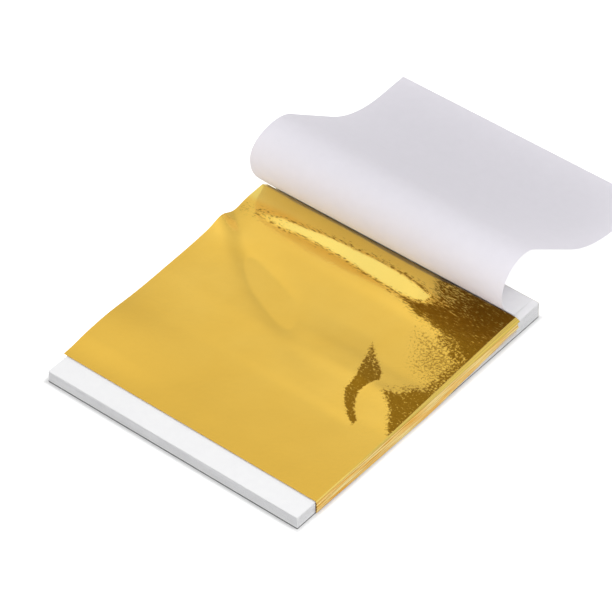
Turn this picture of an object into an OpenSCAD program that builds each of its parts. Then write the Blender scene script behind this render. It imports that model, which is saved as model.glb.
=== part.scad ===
// Booklet of thin metal leaf: loose square leaves interleaved with thin white pages.
// The pages are glued together at the spine, and the top page is turned back in a curl.
// X runs across the pad, Y from the fore-edge to the spine, Z up; the origin is at the
// middle of the underside. Millimetres.

/* [Pad] */
// Width of the pages and the card
pad_w = 140; // [80:1:200]
// Length of the pages from the fore-edge to the spine
pad_l = 168; // [120:1:240]
// Depth of the bound margin, from the fold of a turned page to the spine
bound_margin = 14; // [8:0.5:20]
// Number of gold leaves, each on a page of its own
leaf_count = 100; // [20:1:120]
// Thickness of the backing card
card_t = 0.5; // [0.3:0.05:2]
// Thickness of the film of padding glue on the spine
glue_t = 0.4; // [0.2:0.05:1]

/* [Sheets] */
// Thickness of one page
paper_t = 0.04; // [0.03:0.005:0.08]
// Thickness of one leaf
leaf_t = 0.012; // [0.01:0.001:0.03]
// Space between the side edge of a page and the side edge of its leaf
side_margin = 0.3; // [0:0.1:10]
// Length of a leaf
leaf_l = 140; // [60:0.5:200]
// Space between the fold and the edge of a leaf
leaf_margin = 2; // [1:0.5:10]
// Air between a page and the next at the fore-edge, shared above and below the leaf
air_fore = 0.0065; // [0.004:0.0005:0.03]
// Air between a page and the next at the spine
air_bound = 0.0285; // [0.01:0.0005:0.06]
// How far the edges of the sheets stray from true
stray = 0.3; // [0:0.05:0.6]

/* [Turning pages] */
// Number of pages under the turned one that lift by themselves
loose_pages = 3; // [1:1:5]
// Gap at a fold, which lets the flat pieces on its two sides turn
fold_gap = 0.1; // [0.06:0.01:0.3]
// Height of the turned page's fold over the page under it
fold_lift = 0.8; // [0.6:0.05:2]

/* [Turned page] */
// Thickness of the turned page
turned_t = 0.05; // [0.03:0.005:0.1]
// Number of creases that the curl is made of
curl_creases = 7; // [5:1:10]
// Number of creases in the bend of the tail
tail_creases = 3; // [2:1:4]
// Angle at which the page leaves the pad, from lying flat towards the fore-edge
root_angle = 50; // [20:1:60]
// Length of straight paper from the fold to the curl
root_l = 9.5; // [4:0.5:20]
// Angle through which the curl turns the page over
curl_angle = 166; // [120:1:180]
// Length of paper in the curl
curl_l = 45.5; // [40:0.5:80]
// Angle through which the tail bends back towards the level
tail_angle = 37; // [10:1:40]
// Length of paper in the bend of the tail
tail_l = 44; // [20:1:60]
// Share of the paper past the curl that is straight before the tail, the rest lying after it
straight_share = 0.69; // [0.4:0.01:0.8]
// How far the creases run askew, so that the curl is wider at its left end
cone = 3; // [0:0.25:6]
// How far the turned page has slipped to the left
slip = 3.5; // [0:0.25:6]

/* [Top leaf] */
// Thickness of the wrinkled top leaf
top_leaf_t = 0.03; // [0.02:0.005:0.1]
// Height of the wrinkles
wrinkle = 0.12; // [0:0.01:0.15]
// Height to which the middle of the left edge stands up
edge_rise = 3; // [0:0.1:4]
// Height to which the far edge stands up
far_rise = 0.25; // [0:0.01:0.3]
// How far the far edge has slipped to the left
leaf_slip = 2.5; // [0:0.1:4]
// Number of squares along each side of the wrinkled leaf
grid = 18; // [6:1:24]

/* [Hidden] */
fold_y = pad_l - bound_margin;
leaf_w = pad_w - 2 * side_margin;
leaf_y1 = fold_y - leaf_margin;
leaf_y0 = leaf_y1 - leaf_l;
pitch_fore = paper_t + leaf_t + air_fore;
pitch_bound = paper_t + leaf_t + air_bound;
clearance = air_fore / 2;
block = 10;
fixed_pages = leaf_count - loose_pages;
blocks = ceil(fixed_pages / block);
paper_white = [0.96, 0.96, 0.97];
gold = [0.87, 0.71, 0.28];
card_grey = [0.62, 0.62, 0.63];
glue_white = [0.9, 0.9, 0.86];

// Turns between neighbours, in degrees, that spread the strays of sheets and of edges
sheet_angle = 137.5;
edge_angle = 71;
page_left = 1;
page_right = 2;
page_fore = 3;
leaf_left = 4;
leaf_right = 5;
leaf_fore = 6;

// A length between 0 and stray that differs from sheet to sheet and from edge to edge
function strays(sheet, edge) = stray * (1 + sin(sheet * sheet_angle + edge * edge_angle)) / 2;

// Height of the space of page k over the table, where the pile fans out towards the spine
function level(k, y) = card_t + k * (pitch_fore + (pitch_bound - pitch_fore) * y / pad_l);
function page_z(k, y) = level(k, y) + clearance;
function leaf_z(k, y) = page_z(k, y) + paper_t + clearance;

// Pages are counted from the card up, so the page under the top leaf is the last
top_page = leaf_count - 1;

// The turned page: its fold stands over the top page, and closes level with the pile
slope = atan2(level(leaf_count, pad_l) - level(leaf_count, 0), pad_l);
fold_z = level(leaf_count, fold_y) + fold_lift;
strips = curl_creases + tail_creases + 1;
curl_end_l = root_l + curl_l;
tail_start_l = curl_end_l + straight_share * (fold_y - curl_end_l - tail_l);

// Length of paper from the fold to crease i, in the middle and at the two edges. Crease 0 is
// the fold itself, and the last one is the free edge. The others share out each bend evenly.
function crease(i) =
    i == 0 ? 0
    : i <= curl_creases ? root_l + curl_l * (i - 0.5) / curl_creases
    : i < strips ? tail_start_l + tail_l * (i - curl_creases - 0.5) / tail_creases
    : fold_y;
function askew(i) = cone * pow(sin(180 * crease(i) / fold_y), 2);
function crease_left(i) = crease(i) + askew(i);
function crease_right(i) = crease(i) - askew(i);
function crease_angle(i) = atan2(crease_left(i) - crease_right(i), pad_w);

// Angle that the paper turns through at crease i
function bend(i) =
    i == 0 ? root_angle
    : i <= curl_creases ? curl_angle / curl_creases
    : -tail_angle / tail_creases;

// A flat sheet that follows the fan of the pile, with z0 and z1 the heights of its two ends
module sheet(x0, x1, y0, y1, z0, z1, t) {
    translate([x0, 0, 0])
        rotate([90, 0, 90])
            linear_extrude(x1 - x0)
                polygon([[y0, z0], [y1, z1], [y1, z1 + t], [y0, z0 + t]]);
}

// Page k from y0 to y1, with the edge at y0 straying when it is the fore-edge
module page(k, y0, y1) {
    from = y0 == 0 ? strays(k, page_fore) : y0;
    color(paper_white)
        sheet(
            -pad_w / 2 + strays(k, page_left), pad_w / 2 - strays(k, page_right),
            from, y1, page_z(k, from), page_z(k, y1), paper_t
        );
}

// Leaf k, lying on page k
module leaf(k) {
    x_off = strays(k, leaf_left) - strays(k, leaf_right);
    y_off = strays(k, leaf_fore);
    from = leaf_y0 - y_off;
    to = leaf_y1 - y_off;
    color(gold)
        sheet(
            x_off - leaf_w / 2, x_off + leaf_w / 2,
            from, to, leaf_z(k, from), leaf_z(k, to), leaf_t
        );
}

module backing_card() {
    color(card_grey)
        translate([-pad_w / 2, 0, 0])
            cube([pad_w, pad_l, card_t]);
}

// The film of glue stands on the spine end, against every page and the card
module spine_glue() {
    color(glue_white)
        translate([-pad_w / 2, pad_l, 0])
            cube([pad_w, glue_t, level(leaf_count, pad_l) + clearance + turned_t]);
}

module page_block(b) {
    for (k = [(b - 1) * block : min(b * block, fixed_pages) - 1])
        page(k, 0, pad_l);
}

module leaf_block(b) {
    for (k = [(b - 1) * block : min(b * block, fixed_pages) - 1])
        leaf(k);
}

// Pages that lift, counted down from the top, end at the fold
module loose_page(n) {
    page(leaf_count - n, 0, fold_y - fold_gap / 2);
}

// Bound ends of the loose pages and of the turned page, which stay in the pad
module page_stubs() {
    for (n = [1 : loose_pages])
        page(leaf_count - n, fold_y + fold_gap / 2, pad_l);
    color(paper_white)
        sheet(
            -pad_w / 2 - slip, pad_w / 2 - slip, fold_y + fold_gap / 2, pad_l,
            fold_z - turned_t / 2, level(leaf_count, pad_l) + clearance, turned_t
        );
}

// Height of the top leaf over its page, at u of its width and v of its length: low waves that
// cross it, a left edge that stands up away from its two corners, and a raised far edge
function wave(u, v) =
    wrinkle * (0.5 + 0.25 * sin(500 * u + 340 * v) + 0.25 * sin(260 * u - 610 * v + 40));
function stand(u, v) =
    edge_rise * pow(1 - u, 6) * pow(sin(180 * v), 2) * (0.75 + 0.25 * sin(1000 * v))
    + far_rise * pow(v, 12);
function lift(u, v) = clearance + wave(u, v) + stand(u, v);
function slid(u, v) = leaf_slip * v * (1 - u);

module top_leaf() {
    side = grid + 1;
    base = leaf_z(top_page, leaf_y0);
    rise = leaf_z(top_page, leaf_y1) - base;
    function spot(i, j, up) =
        let(u = i / grid, v = j / grid)
        [leaf_w * (u - 0.5) - slid(u, v), leaf_y0 + leaf_l * v, base + rise * v + lift(u, v) + up];
    upper = [for (j = [0 : grid], i = [0 : grid]) spot(i, j, top_leaf_t)];
    lower = [for (j = [0 : grid], i = [0 : grid]) spot(i, j, 0)];
    n = side * side;
    function at(i, j) = j * side + i;
    top_faces = [
        for (j = [0 : grid - 1], i = [0 : grid - 1], half = [0, 1])
        half == 0 ? [at(i, j), at(i + 1, j + 1), at(i + 1, j)]
            : [at(i, j), at(i, j + 1), at(i + 1, j + 1)]
    ];
    low_faces = [for (f = top_faces) [n + f[2], n + f[1], n + f[0]]];
    rim = concat(
        [for (i = [0 : grid - 1]) at(i, 0)],
        [for (j = [0 : grid - 1]) at(grid, j)],
        [for (i = [grid : -1 : 1]) at(i, grid)],
        [for (j = [grid : -1 : 1]) at(0, j)]
    );
    rim_faces = [
        for (i = [0 : len(rim) - 1], half = [0, 1])
        let(a = rim[i], b = rim[(i + 1) % len(rim)])
        half == 0 ? [a, b, n + b] : [a, n + b, n + a]
    ];
    color(gold)
        polyhedron(concat(upper, lower), concat(top_faces, low_faces, rim_faces));
}

// Puts what follows, drawn on the unrolled page, where crease i and those before it fold it.
// On the unrolled page the fold is at s = 0 and the paper runs towards -Y.
module folded(i) {
    if (i < 0)
        children();
    else
        folded(i - 1)
            translate([0, -crease(i), 0])
                rotate([0, 0, crease_angle(i)])
                    rotate([-bend(i), 0, 0])
                        rotate([0, 0, -crease_angle(i)])
                            translate([0, crease(i), 0])
                                children();
}

module turned_strip(i) {
    half = pad_w / 2;
    color(paper_white)
        translate([-slip, fold_y, fold_z])
            rotate([slope, 0, 0])
                folded(i)
                    translate([0, 0, -turned_t / 2])
                        linear_extrude(turned_t)
                            polygon([
                                [-half, -crease_left(i) - fold_gap / 2],
                                [half, -crease_right(i) - fold_gap / 2],
                                [half, -crease_right(i + 1) + fold_gap / 2],
                                [-half, -crease_left(i + 1) + fold_gap / 2]
                            ]);
}

// Everything above is drawn from the fore-edge, and this centres it on the origin
module centred() {
    translate([0, -pad_l / 2, 0])
        children();
}

centred() backing_card();
centred() spine_glue();
centred() page_stubs();
centred() top_leaf();
for (b = [1 : blocks]) {
    centred() page_block(b);
    centred() leaf_block(b);
}
for (n = [1 : loose_pages])
    centred() loose_page(n);
for (n = [2 : loose_pages])
    centred() leaf(leaf_count - n);
for (i = [1 : strips])
    centred() turned_strip(i - 1);
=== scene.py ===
"""Dresses the booklet of gold leaf: its curled page, wrinkled top leaf, leaf edges, paper and light."""

import math

import bpy
import numpy as np
from mathutils import Matrix, Vector


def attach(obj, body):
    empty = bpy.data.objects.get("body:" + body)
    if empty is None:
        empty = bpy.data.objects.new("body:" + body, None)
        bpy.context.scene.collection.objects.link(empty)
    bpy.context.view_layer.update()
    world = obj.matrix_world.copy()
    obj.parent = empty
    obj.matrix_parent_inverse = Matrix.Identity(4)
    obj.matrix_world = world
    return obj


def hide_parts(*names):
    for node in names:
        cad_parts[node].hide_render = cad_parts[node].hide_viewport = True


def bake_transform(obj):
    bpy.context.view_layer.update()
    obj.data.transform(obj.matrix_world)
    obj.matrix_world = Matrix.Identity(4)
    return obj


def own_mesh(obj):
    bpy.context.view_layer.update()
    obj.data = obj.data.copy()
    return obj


MM = 0.001
SEED = 7

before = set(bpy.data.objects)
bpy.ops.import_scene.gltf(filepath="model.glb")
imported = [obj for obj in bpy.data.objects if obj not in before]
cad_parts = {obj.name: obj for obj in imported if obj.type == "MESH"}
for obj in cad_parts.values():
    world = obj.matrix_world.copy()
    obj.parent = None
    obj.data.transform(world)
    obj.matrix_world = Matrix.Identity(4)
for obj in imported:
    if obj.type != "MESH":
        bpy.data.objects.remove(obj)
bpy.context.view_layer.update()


# Sizes that part.scad also has, in millimetres and degrees

PAD_W, PAD_L = 140.0, 168.0
BOUND_MARGIN = 14.0
LEAF_COUNT, LOOSE_PAGES, BLOCK = 100, 3, 10
CARD_T, PAPER_T, LEAF_T = 0.5, 0.04, 0.012
AIR_FORE, AIR_BOUND = 0.0065, 0.0285
LEAF_W, LEAF_L, LEAF_MARGIN = 139.4, 140.0, 2.0
TURNED_T, FOLD_LIFT = 0.05, 0.8
CURL_CREASES, TAIL_CREASES = 7, 3
ROOT_ANGLE, CURL_ANGLE, TAIL_ANGLE = 50.0, 166.0, 37.0
ROOT_L, CURL_L, TAIL_L, STRAIGHT_SHARE = 9.5, 45.5, 44.0, 0.69
CONE, SLIP = 3.0, 3.5

FOLD_Y = PAD_L - BOUND_MARGIN
LEAF_Y1 = FOLD_Y - LEAF_MARGIN
LEAF_Y0 = LEAF_Y1 - LEAF_L
PITCH_FORE = PAPER_T + LEAF_T + AIR_FORE
PITCH_BOUND = PAPER_T + LEAF_T + AIR_BOUND
CURL_END = ROOT_L + CURL_L
TAIL_START = CURL_END + STRAIGHT_SHARE * (FOLD_Y - CURL_END - TAIL_L)
STRIPS = CURL_CREASES + TAIL_CREASES + 1
FIXED_LEAVES = LEAF_COUNT - LOOSE_PAGES
TOP_LEAF = LEAF_COUNT - 1


def pitch(y):
    """Height of one page with its leaf and air, y from the fore-edge."""
    return PITCH_FORE + (PITCH_BOUND - PITCH_FORE) * y / PAD_L


def level(k, y):
    """Height of the space of page k over the table, y from the fore-edge."""
    return CARD_T + k * pitch(y)


def leaf_z(k, y):
    """Height of the underside of leaf k."""
    return level(k, y) + AIR_FORE + PAPER_T


# Curves and noise that the shapes are made from

NOISE_CELLS = 64
NOISE_OFFSET = 1000.0  # keeps every place on the positive side of the noise


def smooth(t):
    """A smooth rise from 0 to 1 as t goes from 0 to 1."""
    t = np.clip(t, 0.0, 1.0)
    return t * t * (3 - 2 * t)


def hump(value, middle, width):
    """A bell from 0 up to 1 at the middle."""
    return np.exp(-(((value - middle) / width) ** 2))


def noise(x, y, size, seed):
    """Smooth random heights from -1 to 1, with bumps about size across."""
    rng = np.random.default_rng(SEED * 1000 + seed)
    table = rng.uniform(-1, 1, (NOISE_CELLS, NOISE_CELLS))
    u, v = np.asarray(x) / size + NOISE_OFFSET, np.asarray(y) / size + NOISE_OFFSET
    i, j = np.floor(u).astype(int), np.floor(v).astype(int)
    a, b = smooth(u - i), smooth(v - j)

    def corner(right, up):
        return table[(i + right) % NOISE_CELLS, (j + up) % NOISE_CELLS]

    low = corner(0, 0) * (1 - a) + corner(1, 0) * a
    high = corner(0, 1) * (1 - a) + corner(1, 1) * a
    return low * (1 - b) + high * b


# Building blocks of the materials


class Nodes:
    """Builds a shader's nodes."""

    def __init__(self, tree):
        self.tree = tree

    def add(self, kind, inputs=None, **settings):
        node = self.tree.nodes.new(kind)
        for name, value in settings.items():
            setattr(node, name, value)
        for name, value in (inputs or {}).items():
            self.feed(node.inputs[name], value)
        return node

    def feed(self, socket, value):
        if isinstance(value, bpy.types.NodeSocket):
            self.tree.links.new(value, socket)
        else:
            socket.default_value = value

    def math(self, operation, a, b=0.0):
        node = self.add("ShaderNodeMath", operation=operation)
        self.feed(node.inputs[0], a)
        self.feed(node.inputs[1], b)
        return node.outputs[0]

    def span(self, value, low, high, to_low=0.0, to_high=1.0):
        """value from low..high to to_low..to_high, eased and kept inside."""
        ends = {"From Min": low, "From Max": high, "To Min": to_low, "To Max": to_high}
        node = self.add("ShaderNodeMapRange", {"Value": value, **ends}, interpolation_type="SMOOTHSTEP")
        return node.outputs[0]

    def mix(self, factor, a, b, kind="RGBA"):
        """a where the factor is 0, b where it is 1."""
        node = self.add("ShaderNodeMix", {"Factor": factor, "A": a, "B": b}, data_type=kind)
        return node.outputs["Result"]

    def noise(self, where, scale, detail, rough):
        inputs = {"Vector": where, "Scale": scale, "Detail": detail, "Roughness": rough}
        return self.add("ShaderNodeTexNoise", inputs).outputs[0]

    def jitter(self, texture, reach):
        """A noise centred on 0 that reaches that far in all."""
        return self.math("MULTIPLY", self.math("SUBTRACT", texture, 0.5), reach)

    def drawn_out(self, where, scale, turn=0.0):
        """where, scaled so that a texture on it stretches along the axes with a low scale."""
        inputs = {"Vector": where, "Rotation": (0, 0, turn), "Scale": scale}
        return self.add("ShaderNodeMapping", inputs).outputs[0]

    def coordinate(self, where, axis):
        return self.add("ShaderNodeSeparateXYZ", {"Vector": where}).outputs[axis]

    def attribute(self, name):
        """What paint() gave to the mesh under that name."""
        return self.add("ShaderNodeAttribute", attribute_name=name).outputs["Fac"]

    def colors(self, value, first, last):
        """A ramp between two colours, each of them with its place."""
        node = self.add("ShaderNodeValToRGB", {"Fac": value})
        for (place, color), element in zip((first, last), [*node.color_ramp.elements]):
            element.position, element.color = place, (*color, 1)
        return node.outputs[0]

    def flatness(self):
        """1 where a face lies flat in its own piece, 0 where it stands upright."""
        normal = self.add("ShaderNodeTexCoord").outputs["Normal"]
        return self.math("ABSOLUTE", self.coordinate(normal, "Z"))


def material(name, **principled):
    """A new material, its nodes, its shader and the place that its textures start from."""
    made = bpy.data.materials.new(name)
    made.use_nodes = True
    nodes = Nodes(made.node_tree)
    shader = made.node_tree.nodes["Principled BSDF"]
    for key, value in principled.items():
        shader.inputs[key.replace("_", " ")].default_value = value
    where = nodes.add("ShaderNodeTexCoord").outputs["Object"]
    return made, nodes, shader, where


def bump(nodes, shader, height, strength, depth_mm):
    inputs = {"Height": height, "Strength": strength, "Distance": depth_mm * MM}
    nodes.feed(shader.inputs["Normal"], nodes.add("ShaderNodeBump", inputs).outputs[0])


# Paper, board and glue

# Painted shade on the pages' cut edges, its darker and its lighter layers
CUT_SHADE_DARK, CUT_SHADE_LIGHT = (0.50, 0.50, 0.505), (0.80, 0.80, 0.805)
UPRIGHT_TO_FLAT = (0.02, 0.1)  # flatness at which a cut edge turns into the sheet's face
GLOW = (0.98, 0.96, 0.97, 1)


def paper(name, light, dark, through=0.0, cut_edges=False):
    """Thin smooth paper with a faint cloud of fibres and a soft tooth, that lets some light through."""
    made, nodes, shader, where = material(name, Roughness=0.62, Specular_IOR_Level=0.3)
    color = nodes.colors(nodes.noise(where, 260.0, 5.0, 0.6), (0.3, dark), (0.7, light))
    if cut_edges:
        # painted shade between the pages: the cut edges are greyer than the sheet's face, in uneven layers
        layers = nodes.noise(nodes.drawn_out(where, (0.02, 0.02, 1.0)), 1250.0, 4.0, 0.75)
        cut = nodes.colors(layers, (0.38, CUT_SHADE_DARK), (0.6, CUT_SHADE_LIGHT))
        color = nodes.mix(nodes.span(nodes.flatness(), *UPRIGHT_TO_FLAT), cut, color)
    nodes.feed(shader.inputs["Base Color"], color)
    wave = {"Vector": where, "Scale": 700.0, "Distortion": 9.0, "Detail": 3.0}
    fibres = nodes.math("MULTIPLY", nodes.add("ShaderNodeTexWave", wave).outputs["Fac"], 0.3)
    tooth = nodes.math("ADD", nodes.noise(where, 2600.0, 3.0, 0.6), fibres)
    bump(nodes, shader, tooth, 0.25, 0.02)
    if through:
        glow = nodes.add("ShaderNodeBsdfTranslucent", {"Color": GLOW})
        both = nodes.add("ShaderNodeMixShader", {"Fac": through})
        nodes.feed(both.inputs[1], shader.outputs[0])
        nodes.feed(both.inputs[2], glow.outputs[0])
        nodes.feed(made.node_tree.nodes["Material Output"].inputs["Surface"], both.outputs[0])
    return made


def cloudy(name, roughness, grain, dark, light, strength, depth_mm):
    """A plain stuff whose colour and face are a little uneven. grain is the noise's scale, detail and
    roughness."""
    made, nodes, shader, where = material(name, Roughness=roughness)
    cloud = nodes.noise(where, *grain)
    nodes.feed(shader.inputs["Base Color"], nodes.colors(cloud, (0.3, dark), (0.7, light)))
    bump(nodes, shader, cloud, strength, depth_mm)
    return made


WHITE_PAPER = paper("white_paper", (0.9, 0.9, 0.905), (0.87, 0.87, 0.88), cut_edges=True)
TURNED_PAPER = paper("turned_paper", (0.90, 0.885, 0.94), (0.875, 0.86, 0.915), through=0.35)
# The backing card is darker than real grey board: partly its own grey, partly a painted contact shadow
# along the bottom of the pile
BOARD_AND_PAINTED_SHADOW = cloudy(
    "grey_board_and_painted_shadow", roughness=0.85, grain=(900.0, 4.0, 0.7),
    dark=(0.065, 0.064, 0.063), light=(0.115, 0.113, 0.11), strength=0.4, depth_mm=0.05,
)
GLUE = cloudy(
    "padding_glue", roughness=0.35, grain=(150.0, 4.0, 0.6),
    dark=(0.76, 0.75, 0.70), light=(0.86, 0.85, 0.80), strength=0.5, depth_mm=0.2,
)

# Gold leaf

FLAT_LIGHT, FLAT_DARK = (0.98, 0.635, 0.115), (0.95, 0.60, 0.098)
# Painted highlights (pale) and painted shade (orange) in the streaks along the pile's leaf edges
STREAK_HIGHLIGHT, STREAK_SHADE = (1.0, 0.80, 0.33), (0.90, 0.46, 0.06)
# Painted dark reflection on the top leaf: its lighter and its deeper brown
DARK_REFLECTION_LIGHT, DARK_REFLECTION_DEEP = (0.33, 0.165, 0.010), (0.22, 0.10, 0.004)
# The paler gold is a painted highlight
HIGHLIGHT_GOLD, FORE_GOLD = (1.0, 0.76, 0.185, 1), (0.87, 0.54, 0.082, 1)
CRINKLE_DEPTH = 0.12
HANGING_TO_FLAT = (0.9, 0.99)  # flatness at which a hanging edge turns into the leaf's face
# Its look changes between these places on the top leaf, measured from the middle of the pad to the spine
FORE_TO_PLAIN = (-85 * MM, 0.0)
LIGHT_TO_DEEP = (15 * MM, 52 * MM)
SPECKS_TO_THREADS = (34 * MM, 46 * MM)
SCATTER = 3.4  # reach of the noise that breaks the painted patches up into specks and threads


def foil(name):
    """Metal leaf, a satin mirror. Gives its plain gold and the height of its fine crinkles too."""
    made, nodes, shader, where = material(name, Metallic=1.0)
    plain_gold = nodes.colors(nodes.noise(where, 45.0, 4.0, 0.55), (0.3, FLAT_DARK), (0.7, FLAT_LIGHT))
    grain = nodes.noise(where, 900.0, 4.0, 0.6)
    nodes.feed(shader.inputs["Roughness"], nodes.span(grain, 0.3, 0.7, 0.12, 0.2))
    cells = nodes.add("ShaderNodeTexVoronoi", {"Vector": where, "Scale": 950.0}, feature="F1")
    facets = nodes.math("MULTIPLY", cells.outputs["Distance"], 0.4)
    crinkles = nodes.math("ADD", nodes.noise(where, 420.0, 5.0, 0.62), facets)
    return made, nodes, shader, where, plain_gold, crinkles


def streaked_foil(name, strength):
    """Foil in the side of the pile: orange painted shade and pale yellow painted highlights streak its
    hanging edges.
    """
    made, nodes, shader, where, plain_gold, crinkles = foil(name)
    streaks = nodes.noise(nodes.drawn_out(where, (1.0, 0.03, 1.0)), 1500.0, 2.0, 0.5)
    hanging = nodes.colors(streaks, (0.36, STREAK_SHADE), (0.62, STREAK_HIGHLIGHT))
    color = nodes.mix(nodes.span(nodes.flatness(), *HANGING_TO_FLAT), hanging, plain_gold)
    nodes.feed(shader.inputs["Base Color"], color)
    bump(nodes, shader, crinkles, strength, CRINKLE_DEPTH)
    return made


def crumpled_foil(name, strength):
    """The top leaf. Dark specks, a painted reflection of dark things, crowd together where its paint
    "bruise" rises, and thin dark threads, painted the same way, run along the binding where "wrinkle"
    rises; both paints also pit its bump. The gold is paler, a painted highlight, where "glint" rises."""
    made, nodes, shader, where, plain_gold, crinkles = foil(name)
    dent_and_dark_reflection, wrinkle = nodes.attribute("dent_and_dark_reflection"), nodes.attribute("wrinkle")
    specks = nodes.noise(where, 850.0, 4.0, 0.7)
    threads = nodes.noise(nodes.drawn_out(where, (0.22, 1.0, 1.0), turn=-0.12), 1900.0, 3.0, 0.7)
    along = nodes.coordinate(where, "Y")

    def scattered(paint, texture, *ends):
        """Marks of that texture where the paint rises, and none where there is no paint."""
        marks = nodes.span(nodes.math("ADD", paint, nodes.jitter(texture, SCATTER)), *ends)
        return nodes.math("MULTIPLY", nodes.span(paint, 0.02, 0.2), marks)

    grained = nodes.mix(nodes.span(along, *SPECKS_TO_THREADS), specks, threads, "FLOAT")
    strong = nodes.span(dent_and_dark_reflection, 0.42, 0.6, 0.56, 1.0)
    reflected_specks = nodes.math("MULTIPLY", scattered(dent_and_dark_reflection, grained, 0.25, 0.75), strong)
    dark = nodes.math("MAXIMUM", reflected_specks, scattered(wrinkle, threads, 0.5, 0.75, 0.0, 0.9))
    # the painted dark reflection is a cloudy brown, deeper towards the spine
    deeper = nodes.math("MULTIPLY", nodes.span(along, *LIGHT_TO_DEEP), 0.55)
    lightness = nodes.math("SUBTRACT", 0.8, deeper)
    clouds = nodes.math("ADD", nodes.jitter(nodes.noise(where, 500.0, 4.0, 0.7), 1.0), lightness)
    reflected_brown = nodes.colors(clouds, (0.1, DARK_REFLECTION_DEEP), (0.9, DARK_REFLECTION_LIGHT))
    gold = nodes.mix(nodes.span(along, *FORE_TO_PLAIN), FORE_GOLD, plain_gold)
    # paler gold where the glint paint rises: a painted highlight
    gold = nodes.mix(nodes.attribute("glint"), gold, HIGHLIGHT_GOLD)
    nodes.feed(shader.inputs["Base Color"], nodes.mix(dark, gold, reflected_brown))
    painted = nodes.math("ADD", dent_and_dark_reflection, wrinkle)
    pits = nodes.math("MULTIPLY", nodes.math("SUBTRACT", specks, dark), painted)
    bump(nodes, shader, nodes.math("ADD", crinkles, pits), strength, CRINKLE_DEPTH)
    return made


GOLD = crumpled_foil("gold_leaf", 0.32)
EDGE_GOLD = streaked_foil("gold_leaf_edges", 0.3)

# Making meshes


def place(points):
    """Points drawn from the fore-edge in millimetres, in the row frame in metres."""
    return (np.asarray(points, float) - (0, PAD_L / 2, 0)) * MM


def grid_normals(points):
    across = np.gradient(points, axis=1)
    along = np.gradient(points, axis=0)
    normals = np.cross(across, along)
    return normals / np.linalg.norm(normals, axis=2, keepdims=True)


def shell(name, points, thick, normals=None):
    """A closed thin sheet over a grid of points (rows, columns, 3), thick millimetres thick.
    Its two faces take the given normals, so that neighbouring pieces shade as one sheet."""
    rows, cols = points.shape[:2]
    if normals is None:
        normals = grid_normals(points)
    upper = points + normals * thick / 2
    lower = points - normals * thick / 2
    n = rows * cols
    at = np.arange(n).reshape(rows, cols)
    quads = np.stack([at[:-1, :-1], at[:-1, 1:], at[1:, 1:], at[1:, :-1]], -1).reshape(-1, 4)
    rim = np.concatenate([at[0, :-1], at[:-1, -1], at[-1, :0:-1], at[:0:-1, 0]])
    after = np.roll(rim, -1)
    sides = np.stack([rim, rim + n, after + n, after], -1)
    faces = np.concatenate([quads, quads[:, ::-1] + n, sides])
    corners = np.concatenate([upper.reshape(-1, 3), lower.reshape(-1, 3)])
    mesh = bpy.data.meshes.new(name)
    mesh.from_pydata(place(corners).tolist(), [], faces.tolist())
    flat = normals.reshape(-1, 3)
    on_faces = np.concatenate([flat[quads.ravel()], -flat[quads[:, ::-1].ravel()]])
    along_rim = corners[after] - corners[rim]
    on_sides = np.cross(along_rim, flat[rim])
    on_sides /= np.maximum(np.linalg.norm(on_sides, axis=1, keepdims=True), 1e-9)
    mesh.polygons.foreach_set("use_smooth", np.ones(len(faces), bool))
    mesh.normals_split_custom_set(np.concatenate([on_faces, np.repeat(on_sides, 4, axis=0)]).tolist())
    obj = bpy.data.objects.new(name, mesh)
    bpy.context.scene.collection.objects.link(obj)
    return obj


def paint(obj, name, values):
    """Gives each point of a shell's two faces a value that its material can read."""
    values = values.ravel()
    layer = obj.data.attributes.new(name, "FLOAT", "POINT")
    layer.data.foreach_set("value", np.concatenate([values, values]))


def merged(name, parts):
    """Several shells as one object."""
    bpy.ops.object.select_all(action="DESELECT")
    for part in parts:
        part.select_set(True)
    bpy.context.view_layer.objects.active = parts[0]
    bpy.ops.object.join()
    parts[0].name = parts[0].data.name = name
    return parts[0]


# The turned page

ROW_STEP, COLUMNS = 0.8, 57
FLARE, FLARE_AT, FLARE_WIDTH = 3.0, 25.0, 15.0  # how the left edge swells out where the paper curls


def lean(s):
    """Angle of the paper over the pile, s along it from the fold."""
    curl = np.clip((s - ROOT_L) / CURL_L, 0, 1)
    tail = np.clip((s - TAIL_START) / TAIL_L, 0, 1)
    return ROOT_ANGLE + CURL_ANGLE * curl - TAIL_ANGLE * tail


def crease(i):
    """Length of paper from the fold to crease i of the part's chain of strips."""
    if i == 0:
        return 0.0
    if i <= CURL_CREASES:
        return ROOT_L + CURL_L * (i - 0.5) / CURL_CREASES
    if i < STRIPS:
        return TAIL_START + TAIL_L * (i - CURL_CREASES - 0.5) / TAIL_CREASES
    return FOLD_Y


def turn(axis, degrees):
    return np.array(Matrix.Rotation(math.radians(degrees), 4, Vector(axis)))


def shift(x, y, z):
    return np.array(Matrix.Translation((x, y, z)))


def page_marks():
    """Where the page is cut into pieces: halfway between the creases of the part's chain."""
    return [0.0, *[(crease(i) + crease(i + 1)) / 2 for i in range(STRIPS)], FOLD_Y]


def page_rows():
    """Lengths from the fold to the lines that the sheet bends at, with one at each mark."""
    rows = []
    marks = page_marks()
    for a, b in zip(marks, marks[1:]):
        steps = max(2, round((b - a) / ROW_STEP))
        rows += [a + (b - a) * k / steps for k in range(steps)]
    return np.array([*rows, FOLD_Y])


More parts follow.
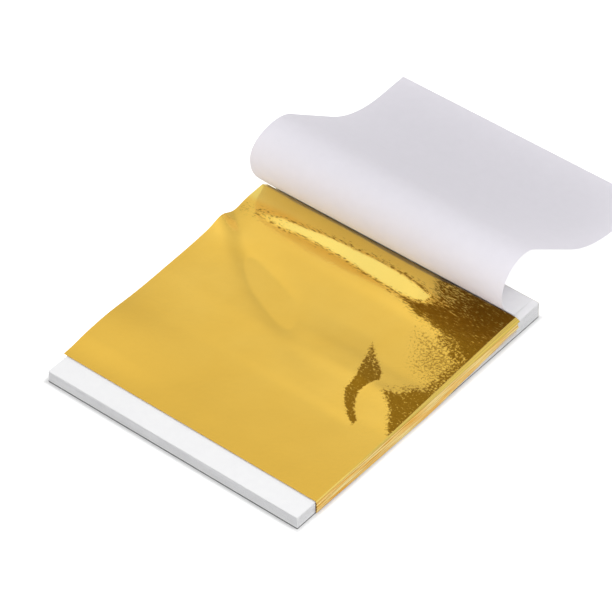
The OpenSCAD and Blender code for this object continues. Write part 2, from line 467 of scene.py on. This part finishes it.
def page_points(rows):
    """The whole sheet as a grid: each row is one straight line across the paper, a fine crease."""
    askew = CONE * np.sin(np.pi * rows / FOLD_Y) ** 2
    flare = FLARE * hump(rows, FLARE_AT, FLARE_WIDTH)
    leans = lean(np.concatenate([[0.0], (rows[:-1] + rows[1:]) / 2]))
    leans[0] = 0.0
    bends = np.diff([*leans, leans[-1]])
    across = np.linspace(-PAD_W / 2, PAD_W / 2, COLUMNS)
    slope = math.degrees(math.atan2(level(LEAF_COUNT, PAD_L) - level(LEAF_COUNT, 0), PAD_L))
    fold_z = level(LEAF_COUNT, FOLD_Y) + FOLD_LIFT
    place_now = shift(-SLIP, FOLD_Y, fold_z) @ turn((1, 0, 0), slope)
    points = []
    for s, skewed, bend, out in zip(rows, askew, bends, flare):
        wide = across - out * np.clip(-2 * across / PAD_W, 0, 1) ** 2
        line = np.stack([wide, -(s - skewed * 2 * across / PAD_W), 0 * across, 1 + 0 * across], -1)
        points.append((line @ place_now.T)[:, :3])
        tilt = math.degrees(math.atan2(2 * skewed, PAD_W))
        place_now = place_now @ shift(0, -s, 0) @ turn((0, 0, 1), tilt) @ turn((1, 0, 0), -bend)
        place_now = place_now @ turn((0, 0, 1), -tilt) @ shift(0, s, 0)
    return np.array(points)


def ride_chain(piece, i, points):
    """Piece i lies across its crease, between the strip before it and the one after it, and stays where
    it is. The first and the last piece have no crease and ride on one strip."""
    if i == 0:
        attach(piece, "turned_page_1")
    elif i == STRIPS:
        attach(piece, f"turned_page_{STRIPS}")
    else:
        # a line down its middle from its first row to its last, made square to the rows
        middle = points.shape[1] // 2
        start, end = place(points[0, middle]), place(points[-1, middle])
        row = points[0, -1] - points[0, 0] + points[-1, -1] - points[-1, 0]
        row /= np.linalg.norm(row)
        end -= ((end - start) @ row) * row
        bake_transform(piece)
    if i > 0:
        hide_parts(f"turned_strip_{i}")


def dress_turned_page():
    marks, rows = page_marks(), page_rows()
    points = page_points(rows)
    normals = grid_normals(points)
    for i in range(STRIPS + 1):
        a, b = np.searchsorted(rows, [marks[i] - 1e-9, marks[i + 1] - 1e-9])
        piece = shell(f"turned_page_part_{i + 1}", points[a : b + 1], TURNED_T, normals[a : b + 1])
        piece.data.materials.append(TURNED_PAPER)
        ride_chain(piece, i, points[a : b + 1])


dress_turned_page()

# The top leaf

# Outlines on it, in millimetres from the middle of the pad, x to the right and y to the spine
STEEP_FOLD = [
    (-61.7, 51), (-50.7, 53.6), (-42.6, 54.8), (-32.7, 56.8), (-21.7, 58), (-1.7, 58.3), (15.3, 57.5),
    (24.9, 56.2), (32.4, 55.5), (31.4, 51.2), (26, 49.1), (18.5, 48.4), (2.9, 49.6), (-16.6, 51.7),
    (-28.7, 51.5), (-39.6, 50.9), (-49.6, 48.8), (-57.6, 48.8),
]
WEDGE = [
    (18.5, 48.4), (32.6, 43.2), (45.6, 41.5), (58.6, 39.3), (67.3, 32.8), (72, 30), (72, 72), (27, 72),
    (26.2, 68.9), (31.3, 59.4), (34.4, 56.4), (33.4, 51.6), (26.5, 48.7),
]
SPECKLED = [(40.2, 36.8), (56.3, 37.4), (72, 32.5), (72, 9), (51.8, 18.4)]
CORNER = [(51, -3.4), (58, 0), (62.6, 6), (72, 12), (72, -26), (65.3, -18.2), (60.6, -11)]
FLAME = [
    (28.4, 18.1), (37.4, 10.7), (43.6, 5.7), (46.2, 1), (44.2, -3.5), (43.3, -9.2), (44.5, -13.4),
    (49, -19.7), (53.3, -23.7), (53.5, -27.4), (48.3, -24.3), (41.8, -18.3), (37.7, -12.5), (36.8, -4),
    (33.5, 4.4), (30.3, 12.6),
]

FOIL_T = 0.02
LEAF_POINTS, HEM_POINTS = 201, 13
TUCK = 1.5  # how much further than its flat size the wrinkled leaf reaches under the turned page

# How far each side edge lies outside its flat size at the fore end, and swings to the left at the far end
LEFT_OUT, LEFT_SKEW = 2.0, 2.5
RIGHT_OUT, RIGHT_SKEW = 0.3, 2.0
# How much the left edge lifts at least, and where it lifts more: place towards the spine, spread, height
EDGE_LIFT, EDGE_LIFTS = 0.7, [(-44, 19, 1.7), (38, 20, 1.2), (78, 24, 1.7)]
EDGE_REACH = 62
# A ridge and a valley run inward from the second lift, and turn towards the fore-edge as they go
RIDGE_RISE, RIDGE_AT, RIDGE_WIDTH, RIDGE_REACH, RIDGE_TURN = 2.5, 38.0, 6.5, 15, 0.3
VALLEY_DEPTH, VALLEY_AT, VALLEY_WIDTH, VALLEY_REACH, VALLEY_TURN = 2.2, 42, 7.0, 125, 0.58
# Height of the leaf where nothing lifts it, its gentle rise to the spine, and the slope of its steep fold
RESTING, BACK_RISE, FOLD_SLOPE = 0.45, 0.6, 0.33
# Slopes inside the dark patches, and over what length to the left of them the step that they make fades
DENT_SLOPE, WEDGE_SLOPE, DENT_REACH = 0.10, 0.05, 45.0
BROAD_WAVE, BROAD_SIZE = 0.16, 38.0
FINE_WAVE, FINE_SIZE = 0.05, 15.0
# The room under the turned page: what there is at its fold, and what each millimetre away from it adds
ROOM_AT_FOLD, ROOM_SLOPE = 0.6, 0.68
LOWEST = 0.08
# The right border hangs down over the edge of the pile, in pleats
HEM_X, HEM_DROP, HEM_PLEAT, HEM_PLEATS = 70.35, -0.25, 0.22, 2.5


def depth(outline, x, y):
    """How far inside an outline each point is, in millimetres, and below zero outside it."""
    inside = np.zeros(x.shape, bool)
    nearest = np.full(x.shape, np.inf)
    for (ax, ay), (bx, by) in zip(outline, outline[1:] + outline[:1]):
        t = np.clip(((x - ax) * (bx - ax) + (y - ay) * (by - ay)) / ((bx - ax) ** 2 + (by - ay) ** 2), 0, 1)
        nearest = np.minimum(nearest, np.hypot(x - ax - t * (bx - ax), y - ay - t * (by - ay)))
        if ay != by:
            inside ^= ((ay > y) != (by > y)) & (x < (bx - ax) * (y - ay) / (by - ay) + ax)
    return np.where(inside, nearest, -nearest)


def blur(field, spread, axis):
    """field smoothed along one axis, spread in grid steps."""
    reach = int(3 * spread) + 1
    weights = np.exp(-0.5 * (np.arange(-reach, reach + 1) / spread) ** 2)
    weights /= weights.sum()
    padding = [(0, 0), (0, 0)]
    padding[axis] = (reach, reach)
    padded = np.pad(field, padding, mode="edge")
    return np.apply_along_axis(lambda line: np.convolve(line, weights, "valid"), axis, padded)


def leaf_grid(u, v):
    """Places over the pad of points u across and v along the top leaf, which has slipped to the left."""
    left = -LEAF_W / 2 - LEFT_OUT - LEFT_SKEW * smooth(v / 0.8)
    right = LEAF_W / 2 + RIGHT_OUT - RIGHT_SKEW * smooth((v - 0.1) / 0.9)
    return left + (right - left) * u, LEAF_Y0 - PAD_L / 2 + (LEAF_L + TUCK) * v


def left_edge_heights(inward, y):
    """The left edge lifts in places, and beside the second a ridge and a shallow valley run inward."""
    lift = sum((height * hump(y, at, spread) for at, spread, height in EDGE_LIFTS), EDGE_LIFT)
    lift *= smooth((y + 73) / 16) * (1 - smooth(inward / EDGE_REACH))
    ridge = hump(y + RIDGE_TURN * inward, RIDGE_AT, RIDGE_WIDTH)
    ridge *= RIDGE_RISE * np.exp(-inward / RIDGE_REACH)
    valley_at = VALLEY_AT + 2.5 * np.exp(-inward / 10)
    valley_width = VALLEY_WIDTH + 2.0 * smooth(inward / 30)
    valley = VALLEY_DEPTH * hump(y + VALLEY_TURN * inward, valley_at, valley_width)
    valley *= 1 - smooth(inward / VALLEY_REACH)
    return lift, ridge - valley


def step_heights(x, y, dx, dy):
    """The leaf steps down to the right across the dark patches."""
    patches = np.maximum(depth(FLAME, x, y), depth(CORNER, x, y))
    in_wedge = smooth((depth(WEDGE, x, y) + 2.0) / 4.0)
    fall = DENT_SLOPE * smooth((patches + 1.5) / 3.0) + WEDGE_SLOPE * in_wedge
    step = np.zeros(x.shape)
    for j in range(x.shape[1] - 2, -1, -1):
        step[:, j] = step[:, j + 1] * math.exp(-dx / DENT_REACH) + fall[:, j] * dx
    return blur(step, 1.5 / dy, 0)


def leaf_heights(x, y):
    """Height of the top leaf over the pile in millimetres."""
    dx, dy = np.mean(np.diff(x, axis=1)), np.mean(np.diff(y, axis=0))
    lift, fold = left_edge_heights(x - x[:, :1], y)
    # it rises gently towards the spine, and steeply in the fold along the binding
    back = BACK_RISE * smooth((y - 10) / 60)
    steep = FOLD_SLOPE * smooth((depth(STEEP_FOLD, x, y) + 0.8) / 1.6)
    rise = blur(np.cumsum(steep, axis=0) * dy, 3.0 / dx, 1)
    waves = BROAD_WAVE * noise(x, y * 1.3, BROAD_SIZE, 1) + FINE_WAVE * noise(x + y, y - x, FINE_SIZE, 2)
    height = RESTING + waves + lift + fold + back + rise + step_heights(x, y, dx, dy)
    from_fold = np.maximum(FOLD_Y - PAD_L / 2 - y, 0)
    return np.maximum(np.minimum(height, ROOM_AT_FOLD + ROOM_SLOPE * from_fold), LOWEST)


def with_hem(x, y, v, height):
    """Adds the right border, which folds down over the edge of the pile in a few sharp pleats."""
    down = np.linspace(0, 1, HEM_POINTS + 1)[1:]
    border = np.maximum(HEM_X - x[:, -1:], 0.2)
    stray = 1.5 * noise(0 * y[:, :1], y[:, :1], 40.0, 14)
    pleats = HEM_PLEAT * np.sin(down * math.pi * 2 * HEM_PLEATS + stray)
    pleats = pleats * (1 - down) * smooth(border / 2.0)
    hanging = height[:, -1:] * (1 - down**1.3) + HEM_DROP * down**2 + pleats
    x = np.concatenate([x, x[:, -1:] + border * down], 1)
    y, v = (np.concatenate([grid, grid[:, :HEM_POINTS]], 1) for grid in (y, v))
    return x, y, v, np.concatenate([height, hanging], 1)


def dent_and_dark_reflection_paint(x, y):
    """How closely the dark specks, a painted reflection of dark things, crowd together. They also pit the
    bump.
    """
    wedge, corner, flame = (depth(outline, x, y) for outline in (WEDGE, CORNER, FLAME))
    patches = [
        smooth(0.5 + wedge / 6.0) * (1 - 0.38 * hump(x, 36, 12) * smooth((y - 50) / 5)),
        0.95 * smooth(0.5 + corner / 5.0),
        (0.95 - 0.3 * smooth(y / 12)) * smooth(0.5 + flame / 2.2),
    ]
    # sparser specks between and around the patches, most of all below the wedge
    halos = [
        0.5 * smooth(0.6 + depth(SPECKLED, x, y) / 16.0),
        0.72 * smooth((x - 56) / 12) * smooth((y + 8) / 10) * smooth((48 - y) / 10),
        0.5 * smooth(1 + wedge / 4.0),
        0.72 * smooth(1 + wedge / 15.0) * smooth((x - 40) / 12) * smooth((44 - y) / 6),
        0.6 * smooth(1 + corner / 7.0) * smooth((y + 3) / 6),
    ]
    dent_and_dark_reflection = np.max(patches + halos, axis=0)
    dent_and_dark_reflection[:, LEAF_POINTS:] = 0
    return dent_and_dark_reflection * (1 - smooth(0.5 + depth(STEEP_FOLD, x, y)))


def glint_paint(x, y):
    """How pale the gold is, a painted highlight: most of all on the steep fold, behind it and on the
    hanging border.
    """
    in_fold = depth(STEEP_FOLD, x, y)
    on_fold = smooth((x + 66) / 24) * (1 - 0.3 * smooth((x + 10) / 40)) * smooth((in_fold + 0.3) / 1.6)
    glint = on_fold + 0.95 * smooth((y - 54) / 5) * (in_fold < 0)
    glint[:, LEAF_POINTS:] = 0.7
    return glint


def wrinkle_paint(x, y):
    """How closely the dark threads, a painted reflection of dark things, crowd together: round the steep
    fold, and at its left end. They also pit the bump.
    """
    in_fold = depth(STEEP_FOLD, x, y)
    rim = -np.abs(in_fold)
    fade_in = smooth((x + 66) / 24)
    around = (0.33 + 0.17 * smooth((x + 15) / 45)) * smooth((rim + 4.5) / 4.5)
    around *= 1 - 0.7 * smooth(in_fold / 1.5)
    on_rim = 0.28 * fade_in * smooth((rim + 0.9) / 0.9)
    return on_rim + fade_in * around + 0.45 * hump(x, -63, 12) * hump(y, 50.5, 4)


def dress_top_leaf():
    steps = np.linspace(0, 1, LEAF_POINTS)
    u, v = np.meshgrid(steps, steps)
    x, y = leaf_grid(u, v)
    x, y, v, height = with_hem(x, y, v, leaf_heights(x, y))
    fore, far = leaf_z(TOP_LEAF, LEAF_Y0), leaf_z(TOP_LEAF, LEAF_Y1)
    points = np.stack([x, y + PAD_L / 2, fore + (far - fore) * v + height], -1)
    leaf = shell("top_leaf_foil", points, FOIL_T)
    leaf.data.materials.append(GOLD)
    paint(leaf, "dent_and_dark_reflection", dent_and_dark_reflection_paint(x, y))
    paint(leaf, "glint", glint_paint(x, y))
    paint(leaf, "wrinkle", wrinkle_paint(x, y))
    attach(leaf, "top_leaf")
    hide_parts("top_leaf")
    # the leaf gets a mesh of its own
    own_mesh(leaf)


dress_top_leaf()

# The leaves in the pile

# Leaves in a bunch, whose edges droop as one soft roll, and how many fewer there are in the lowest
BUNCH, MISSING_BELOW = 17, 4
FADING_BUNCHES = 4  # the lower ones, which hang less towards the spine
# How far past the middle of the pad the lowest bunch starts to fade, how much later each next one does,
# over what length, and by what share
FADE_START, FADE_STEP, FADE_LENGTH, FADE_SHARE = 2.0, 14.0, 30.0, 0.93
LEAST_OUT, OVERHANG = 0.35, 0.75
EDGE_STRAY = 0.25
CLEAR_OF_PAGE = 0.3  # how far an edge first sticks out flat, before it bends down
ALONG_POINTS, BEND_POINTS = 47, 6


def hang(k, y):
    """How far leaf k's right edge sticks out and how far it droops at y, in millimetres. Each bunch of
    leaves swells and shrinks along its length, and the lower ones fade out towards the spine."""
    bunch, place_in = divmod(k + MISSING_BELOW, BUNCH)
    gone = smooth((y - PAD_L / 2 - (FADE_STEP * bunch + FADE_START)) / FADE_LENGTH)
    fade = 1 - FADE_SHARE * gone * (bunch < FADING_BUNCHES)
    swell = 0.8 + 0.35 * noise(0 * y + 50.0 * bunch, y, 22.0, 11)
    ragged = 0.86 + 0.14 * noise(0 * y + 3.0 * k, y, 5.0, 12)
    share = (place_in + 1) / BUNCH
    out = fade * swell * (LEAST_OUT + (OVERHANG - LEAST_OUT) * share)
    return out, fade * ragged * (place_in + 0.8) * pitch(y)


def hanging_leaf(k):
    """Leaf k as a grid of points, its right edge bent down over the pages."""
    y = np.linspace(LEAF_Y0, LEAF_Y1, ALONG_POINTS)
    bend = np.linspace(0, math.pi / 2, BEND_POINTS)
    out, droop = hang(k, y)
    edge = LEAF_W / 2 + EDGE_STRAY * noise(0 * y + 7.0 * k, 0 * y, 3.0, 13)
    flat = np.stack([-LEAF_W / 2 + 0 * y, 0 * y, edge], 1)
    straight = np.minimum(out, CLEAR_OF_PAGE)[:, None]
    over = edge[:, None] + straight + out[:, None] * np.sin(bend)
    down = -droop[:, None] * (1 - np.cos(bend))
    x = np.concatenate([flat, over], 1)
    z = np.concatenate([0 * flat, down], 1) + leaf_z(k, y)[:, None] + LEAF_T / 2
    return np.stack([x, np.broadcast_to(y[:, None], x.shape), z], -1)


def dress_leaf_block(block):
    """The leaves of one block as thin foils."""
    first, last = block * BLOCK, min(block * BLOCK + BLOCK, FIXED_LEAVES)
    foils = [shell(f"leaf_{k}", hanging_leaf(k), LEAF_T) for k in range(first, last)]
    stack = merged(f"leaf_stack_{block + 1}", foils)
    stack.data.materials.append(EDGE_GOLD)
    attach(stack, "pad")
    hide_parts(f"leaf_block_{block + 1}")


for block in range(math.ceil(FIXED_LEAVES / BLOCK)):
    dress_leaf_block(block)

# The CAD nodes that stay


def finish_of(name):
    if name == "backing_card":
        return BOARD_AND_PAINTED_SHADOW
    if name == "spine_glue":
        return GLUE
    return EDGE_GOLD if "leaf" in name else WHITE_PAPER


for name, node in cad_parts.items():
    node.data.materials.clear()
    node.data.materials.append(finish_of(name))

# Floor and light

FLOOR_SIZE, FLOOR_DROP = 6.0, 0.0001
FLOOR_COLOR = (0.86, 0.86, 0.86, 1)
WHITE = (1, 1, 1, 1)
# The camera sees the floor brightened to white, but less so close to the pad, where a painted contact
# shadow lies over the real one
SHADOW_REACH = (0.0005, 0.0045)
SHADOW_GLOW, FLOOR_GLOW = 0.05, 0.75
# What the foil mirrors: an even wall and a brighter ceiling, which is dimmer everywhere but at its left
WALL_TO_CEILING, WALL_GLOW, CEILING_GLOW = (0.4, 1.12), 0.63, 1.10
DIM_SIDE, DIM_HEIGHT, DIMMING = (-0.42, -0.2), (0.35, 0.6), 0.14
ROOM_GLOW, BACKDROP_GLOW = 0.75, 1.0


def make_floor():
    half = FLOOR_SIZE / 2
    around = ((-half, -half), (half, -half), (half, half), (-half, half))
    corners = [(x, y, -FLOOR_DROP) for x, y in around]
    mesh = bpy.data.meshes.new("floor")
    mesh.from_pydata(corners, [], [(0, 1, 2, 3)])
    floor = bpy.data.objects.new("floor", mesh)
    bpy.context.scene.collection.objects.link(floor)
    made, nodes, shader, where = material("pale_floor", Roughness=0.9, Specular_IOR_Level=0.0)
    shader.inputs["Base Color"].default_value = FLOOR_COLOR
    shader.inputs["Emission Color"].default_value = WHITE

    def beside(axis, half_size):
        from_middle = nodes.math("ABSOLUTE", nodes.coordinate(where, axis))
        return nodes.math("SUBTRACT", from_middle, half_size * MM)

    from_pad = nodes.math("MAXIMUM", beside("X", PAD_W / 2), beside("Y", PAD_L / 2))
    glow = nodes.span(from_pad, *SHADOW_REACH, SHADOW_GLOW, FLOOR_GLOW)
    seen = nodes.add("ShaderNodeLightPath").outputs["Is Camera Ray"]
    nodes.feed(shader.inputs["Emission Strength"], nodes.math("MULTIPLY", seen, glow))
    mesh.materials.append(made)


def make_studio():
    """The room's even light, and what the camera and the foil see of it."""
    world = bpy.data.worlds.new("studio")
    world.use_nodes = True
    bpy.context.scene.world = world
    world.node_tree.nodes.clear()
    nodes = Nodes(world.node_tree)
    path = nodes.add("ShaderNodeLightPath")
    toward = nodes.add("ShaderNodeTexCoord").outputs["Generated"]
    side, high = nodes.coordinate(toward, "X"), nodes.coordinate(toward, "Z")
    ceiling = nodes.span(high, *WALL_TO_CEILING, WALL_GLOW, CEILING_GLOW)
    dim = nodes.math("MULTIPLY", nodes.span(side, *DIM_SIDE), nodes.span(high, *DIM_HEIGHT))
    dimmed = nodes.math("SUBTRACT", 1.0, nodes.math("MULTIPLY", dim, DIMMING))
    mirrored = nodes.math("MULTIPLY", ceiling, dimmed)
    room = nodes.mix(path.outputs["Is Glossy Ray"], ROOM_GLOW, mirrored, "FLOAT")
    strength = nodes.mix(path.outputs["Is Camera Ray"], room, BACKDROP_GLOW, "FLOAT")
    background = nodes.add("ShaderNodeBackground", {"Color": WHITE, "Strength": strength})
    nodes.add("ShaderNodeOutputWorld", {"Surface": background.outputs[0]})


def softbox(name, where, size, power):
    """A soft round light that looks at the pad."""
    light = bpy.data.lights.new(name, "AREA")
    light.shape = "DISK"
    light.size = size
    light.energy = power
    obj = bpy.data.objects.new(name, light)
    obj.location = where
    obj.rotation_euler = (-Vector(where)).to_track_quat("-Z", "Y").to_euler()
    bpy.context.scene.collection.objects.link(obj)


make_floor()
make_studio()
softbox("key", (0.7, 0.25, 1.3), 0.7, 5.4)
softbox("fill", (0.35, -1.3, 0.35), 0.9, 6.2)

# The camera, which stands as far off as the photograph's straight edges say

AZIMUTH, ELEVATION, DISTANCE = math.radians(39.365), math.radians(42.484), 1500.0
FOCAL_PX, FRAME_PX, SENSOR = 3422.0, 612, 36.0
AIM = Vector((0, 80.0 - PAD_L / 2, 0))
OFF_RIGHT, OFF_UP = 6.987, 21.013
NEAREST, FARTHEST = 0.05, 20


def make_camera():
    east, north = math.sin(AZIMUTH), -math.cos(AZIMUTH)
    away = Vector((east * math.cos(ELEVATION), north * math.cos(ELEVATION), math.sin(ELEVATION)))
    right = Vector((math.cos(AZIMUTH), math.sin(AZIMUTH), 0))
    up = away.cross(right)
    lens = bpy.data.cameras.new("camera")
    lens.sensor_width = SENSOR
    lens.lens = FOCAL_PX * SENSOR / FRAME_PX
    lens.clip_start, lens.clip_end = NEAREST, FARTHEST
    camera = bpy.data.objects.new("camera", lens)
    stand = AIM + away * DISTANCE + right * OFF_RIGHT + up * OFF_UP
    facing = Matrix((right, up, away)).transposed().to_4x4()
    camera.matrix_world = Matrix.Translation(stand * MM) @ facing
    bpy.context.scene.collection.objects.link(camera)
    bpy.context.scene.camera = camera


make_camera()
bpy.context.scene.view_settings.view_transform = "Standard"
